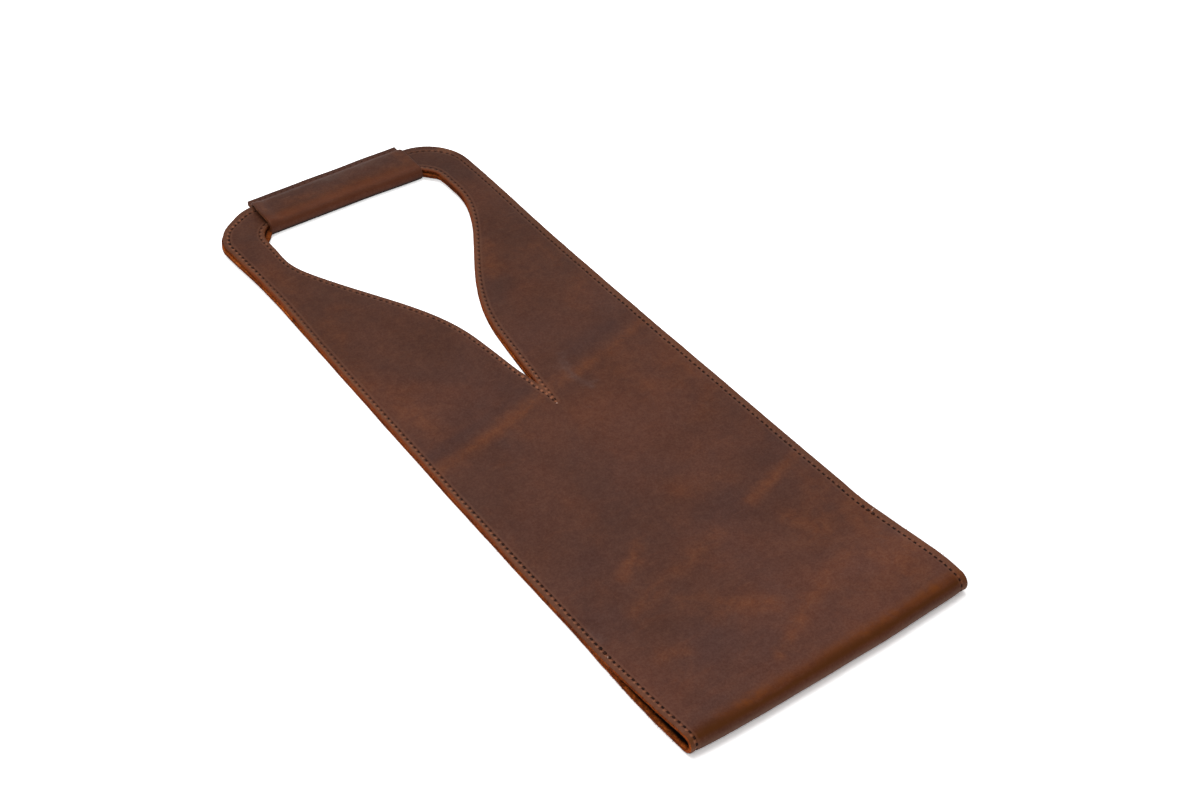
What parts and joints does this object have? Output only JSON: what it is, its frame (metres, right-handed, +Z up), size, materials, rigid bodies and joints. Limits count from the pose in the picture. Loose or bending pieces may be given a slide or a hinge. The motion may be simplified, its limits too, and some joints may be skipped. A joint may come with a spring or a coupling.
{
  "type": "leather bottle carrier",
  "caption": "Flat leather bottle carrier: a strip folded at the bottom and sewn up its sides, with a teardrop hand window and a sleeve round the handle.",
  "frame": {"origin": "under the middle of the carrier as it lies flat, on the plane that it rests on", "axes": "+Y from the rolled bottom to the handle, +X across the carrier to its right side, +Z up, out of the front face"},
  "size_m": [0.157, 0.4055, 0.01],
  "materials": {
    "strip_leather": "waxed, semi-matt, with burnished rubs",
    "sleeve_leather": "waxed, worn to a soft sheen",
    "thread": "waxed thread"
  },
  "bodies": {
    "pocket": {"pocket_strip": "strip_leather", "side_seam_left": "thread", "side_seam_right": "thread", "bottom_seam_left": "thread", "bottom_seam_right": "thread"},
    "arms": {"front_arms": "strip_leather", "back_arms": "strip_leather", "arm_seam": "thread", "front_window_seam": "thread", "back_window_seam": "thread"},
    "sleeve": {"handle_sleeve": "sleeve_leather", "sleeve_seam": "thread"}
  },
  "joints": [
    {"name": "storage_fold", "type": "hinge", "parent": "pocket", "child": "arms", "pos_m": [0, -0.01075, 0.0041], "axis": [1, 0, 0], "range_deg": [0, 172]},
    {"name": "sleeve_slide", "type": "slide", "parent": "arms", "child": "sleeve", "axis": [1, 0, 0], "range_m": [-0.0015, 0.0015]}
  ]
}
